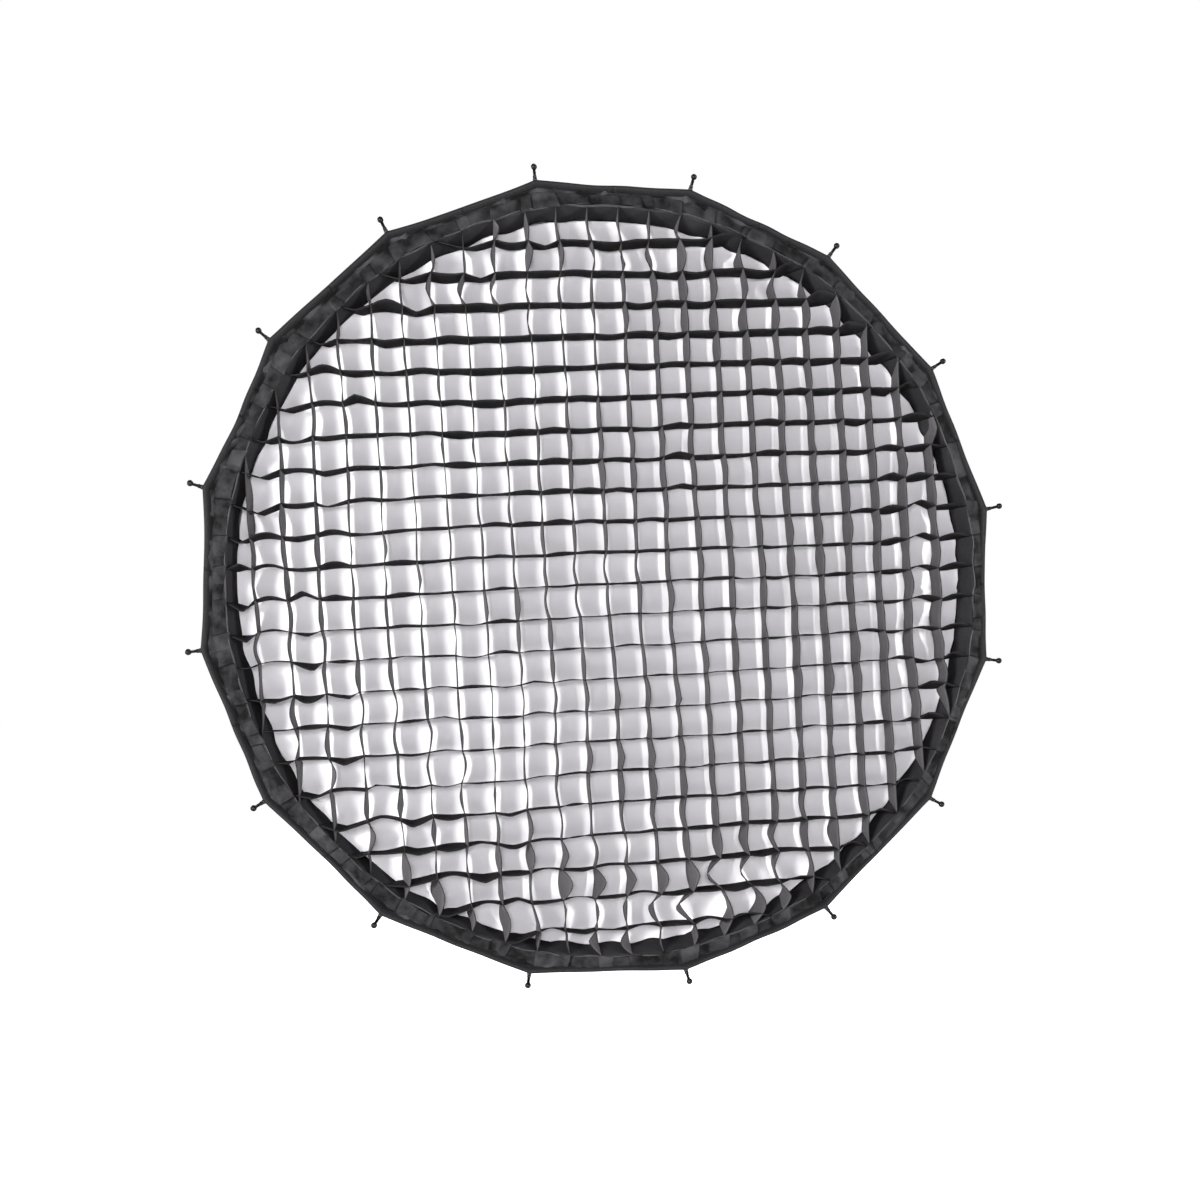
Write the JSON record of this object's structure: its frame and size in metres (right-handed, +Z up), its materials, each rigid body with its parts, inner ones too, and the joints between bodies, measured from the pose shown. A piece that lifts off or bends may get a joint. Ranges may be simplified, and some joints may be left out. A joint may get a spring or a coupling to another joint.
{
  "type": "folding octabox softbox",
  "caption": "Deep round softbox on folding rods, with a bayonet hub, inner baffle, recessed white diffuser and black fabric egg-crate grid.",
  "frame": {"origin": "centre of the bayonet's seat, the flat rear face of the insert's flange", "axes": "-Y forward along the box's axis, out of its open front; +Y back, into the light that holds it; +Z up, with a level edge of the rim at the top"},
  "size_m": [1.2184, 0.4446, 1.2184],
  "materials": {
    "plate_steel": "brushed, zinc plated",
    "cast_black": "black anodised, satin",
    "screw_steel": "bright",
    "rod_black": "black, semi-gloss, with a round end",
    "knuckle_plastic": "moulded, matte",
    "knob_rubber": "ribbed, matte",
    "black_cloth": "black nylon outside, silver inside, fine weave",
    "piping": "bound edge, folded tape",
    "hook_tape": "black hook and loop tape",
    "elastic": "woven elastic",
    "grid_cloth": "black stiff nylon, matte",
    "diffuser_cloth": "white translucent nylon",
    "baffle_cloth": "white translucent nylon"
  },
  "bodies": {
    "bayonet": {"bayonet_insert": "plate_steel", "insert_retaining_ring": "plate_steel", "retaining_screw_1": "screw_steel", "retaining_screw_2": "screw_steel", "retaining_screw_3": "screw_steel"},
    "speed_ring": {"speed_ring": "cast_black", "speed_ring_cover": "cast_black", "pivot_wire": "screw_steel", "outer_shell": "black_cloth", "lip_hook_tape": "hook_tape", "rim_piping": "piping", "rear_collar": "elastic", "cover_screw_1": "screw_steel", "cover_screw_2": "screw_steel", "cover_screw_3": "screw_steel"},
    "lock_knob": {"lock_knob": "knob_rubber"},
    "rod_01": {"rod_01": "rod_black", "rod_knuckle_01": "knuckle_plastic"},
    "rod_02": {"rod_02": "rod_black", "rod_knuckle_02": "knuckle_plastic"},
    "rod_03": {"rod_03": "rod_black", "rod_knuckle_03": "knuckle_plastic"},
    "rod_04": {"rod_04": "rod_black", "rod_knuckle_04": "knuckle_plastic"},
    "rod_05": {"rod_05": "rod_black", "rod_knuckle_05": "knuckle_plastic"},
    "rod_06": {"rod_06": "rod_black", "rod_knuckle_06": "knuckle_plastic"},
    "rod_07": {"rod_07": "rod_black", "rod_knuckle_07": "knuckle_plastic"},
    "rod_08": {"rod_08": "rod_black", "rod_knuckle_08": "knuckle_plastic"},
    "rod_09": {"rod_09": "rod_black", "rod_knuckle_09": "knuckle_plastic"},
    "rod_10": {"rod_10": "rod_black", "rod_knuckle_10": "knuckle_plastic"},
    "rod_11": {"rod_11": "rod_black", "rod_knuckle_11": "knuckle_plastic"},
    "rod_12": {"rod_12": "rod_black", "rod_knuckle_12": "knuckle_plastic"},
    "rod_13": {"rod_13": "rod_black", "rod_knuckle_13": "knuckle_plastic"},
    "rod_14": {"rod_14": "rod_black", "rod_knuckle_14": "knuckle_plastic"},
    "rod_15": {"rod_15": "rod_black", "rod_knuckle_15": "knuckle_plastic"},
    "rod_16": {"rod_16": "rod_black", "rod_knuckle_16": "knuckle_plastic"},
    "baffle": {"inner_baffle": "baffle_cloth", "baffle_strap_1": "elastic", "baffle_strap_2": "elastic", "baffle_strap_3": "elastic", "baffle_strap_4": "elastic", "baffle_strap_5": "elastic", "baffle_strap_6": "elastic", "baffle_strap_7": "elastic", "baffle_strap_8": "elastic"},
    "diffuser": {"front_diffuser": "diffuser_cloth"},
    "grid": {"fabric_grid": "grid_cloth", "grid_border": "hook_tape"}
  },
  "joints": [
    {"name": "ring_swivel", "type": "hinge", "parent": "bayonet", "child": "speed_ring", "pos_m": [0, 0, 0], "axis": [0, -1, 0], "continuous": true},
    {"name": "lock_knob_turn", "type": "hinge", "parent": "speed_ring", "child": "lock_knob", "pos_m": [0, -0.0105, -0.1], "axis": [0, 0, 1], "range_deg": [-720, 0]},
    {"name": "rod_fold_01", "type": "hinge", "parent": "speed_ring", "child": "rod_01", "pos_m": [0.08631, -0.023, 0.01717], "axis": [0.1951, 0, -0.9808], "range_deg": [0, 50], "deforming": ["outer_shell", "lip_hook_tape", "rim_piping", "rear_collar", "inner_baffle", "front_diffuser", "fabric_grid", "grid_border", "baffle_strap_1", "baffle_strap_2", "baffle_strap_3", "baffle_strap_4", "baffle_strap_5", "baffle_strap_6", "baffle_strap_7", "baffle_strap_8"]},
    {"name": "rod_fold_02", "type": "hinge", "parent": "speed_ring", "child": "rod_02", "pos_m": [0.07317, -0.023, 0.04889], "axis": [0.5556, 0, -0.8315], "range_deg": [0, 50]},
    {"name": "rod_fold_03", "type": "hinge", "parent": "speed_ring", "child": "rod_03", "pos_m": [0.04889, -0.023, 0.07317], "axis": [0.8315, 0, -0.5556], "range_deg": [0, 50]},
    {"name": "rod_fold_04", "type": "hinge", "parent": "speed_ring", "child": "rod_04", "pos_m": [0.01717, -0.023, 0.08631], "axis": [0.9808, 0, -0.1951], "range_deg": [0, 50]},
    {"name": "rod_fold_05", "type": "hinge", "parent": "speed_ring", "child": "rod_05", "pos_m": [-0.01717, -0.023, 0.08631], "axis": [0.9808, 0, 0.1951], "range_deg": [0, 50]},
    {"name": "rod_fold_06", "type": "hinge", "parent": "speed_ring", "child": "rod_06", "pos_m": [-0.04889, -0.023, 0.07317], "axis": [0.8315, 0, 0.5556], "range_deg": [0, 50]},
    {"name": "rod_fold_07", "type": "hinge", "parent": "speed_ring", "child": "rod_07", "pos_m": [-0.07317, -0.023, 0.04889], "axis": [0.5556, 0, 0.8315], "range_deg": [0, 50]},
    {"name": "rod_fold_08", "type": "hinge", "parent": "speed_ring", "child": "rod_08", "pos_m": [-0.08631, -0.023, 0.01717], "axis": [0.1951, 0, 0.9808], "range_deg": [0, 50]},
    {"name": "rod_fold_09", "type": "hinge", "parent": "speed_ring", "child": "rod_09", "pos_m": [-0.08631, -0.023, -0.01717], "axis": [-0.1951, 0, 0.9808], "range_deg": [0, 50]},
    {"name": "rod_fold_10", "type": "hinge", "parent": "speed_ring", "child": "rod_10", "pos_m": [-0.07317, -0.023, -0.04889], "axis": [-0.5556, 0, 0.8315], "range_deg": [0, 50]},
    {"name": "rod_fold_11", "type": "hinge", "parent": "speed_ring", "child": "rod_11", "pos_m": [-0.04889, -0.023, -0.07317], "axis": [-0.8315, 0, 0.5556], "range_deg": [0, 50]},
    {"name": "rod_fold_12", "type": "hinge", "parent": "speed_ring", "child": "rod_12", "pos_m": [-0.01717, -0.023, -0.08631], "axis": [-0.9808, 0, 0.1951], "range_deg": [0, 50]},
    {"name": "rod_fold_13", "type": "hinge", "parent": "speed_ring", "child": "rod_13", "pos_m": [0.01717, -0.023, -0.08631], "axis": [-0.9808, 0, -0.1951], "range_deg": [0, 50]},
    {"name": "rod_fold_14", "type": "hinge", "parent": "speed_ring", "child": "rod_14", "pos_m": [0.04889, -0.023, -0.07317], "axis": [-0.8315, 0, -0.5556], "range_deg": [0, 50]},
    {"name": "rod_fold_15", "type": "hinge", "parent": "speed_ring", "child": "rod_15", "pos_m": [0.07317, -0.023, -0.04889], "axis": [-0.5556, 0, -0.8315], "range_deg": [0, 50]},
    {"name": "rod_fold_16", "type": "hinge", "parent": "speed_ring", "child": "rod_16", "pos_m": [0.08631, -0.023, -0.01717], "axis": [-0.1951, 0, -0.9808], "range_deg": [0, 50]},
    {"name": "baffle_off", "type": "slide", "parent": "speed_ring", "child": "baffle", "axis": [0, -1, 0], "range_m": [0, 0.54]},
    {"name": "diffuser_off", "type": "slide", "parent": "speed_ring", "child": "diffuser", "axis": [0, -1, 0], "range_m": [0, 0.54]},
    {"name": "grid_off", "type": "slide", "parent": "speed_ring", "child": "grid", "axis": [0, -1, 0], "range_m": [0, 0.6]}
  ],
  "couplings": [
    {"joint": "rod_fold_02", "follows": "rod_fold_01", "ratio": 1},
    {"joint": "rod_fold_03", "follows": "rod_fold_01", "ratio": 1},
    {"joint": "rod_fold_04", "follows": "rod_fold_01", "ratio": 1},
    {"joint": "rod_fold_05", "follows": "rod_fold_01", "ratio": 1},
    {"joint": "rod_fold_06", "follows": "rod_fold_01", "ratio": 1},
    {"joint": "rod_fold_07", "follows": "rod_fold_01", "ratio": 1},
    {"joint": "rod_fold_08", "follows": "rod_fold_01", "ratio": 1},
    {"joint": "rod_fold_09", "follows": "rod_fold_01", "ratio": 1},
    {"joint": "rod_fold_10", "follows": "rod_fold_01", "ratio": 1},
    {"joint": "rod_fold_11", "follows": "rod_fold_01", "ratio": 1},
    {"joint": "rod_fold_12", "follows": "rod_fold_01", "ratio": 1},
    {"joint": "rod_fold_13", "follows": "rod_fold_01", "ratio": 1},
    {"joint": "rod_fold_14", "follows": "rod_fold_01", "ratio": 1},
    {"joint": "rod_fold_15", "follows": "rod_fold_01", "ratio": 1},
    {"joint": "rod_fold_16", "follows": "rod_fold_01", "ratio": 1},
    {"joint": "baffle_off", "follows": "rod_fold_01", "m_per_rad": 0.59},
    {"joint": "diffuser_off", "follows": "rod_fold_01", "m_per_rad": 0.59},
    {"joint": "grid_off", "follows": "rod_fold_01", "m_per_rad": 0.66}
  ]
}
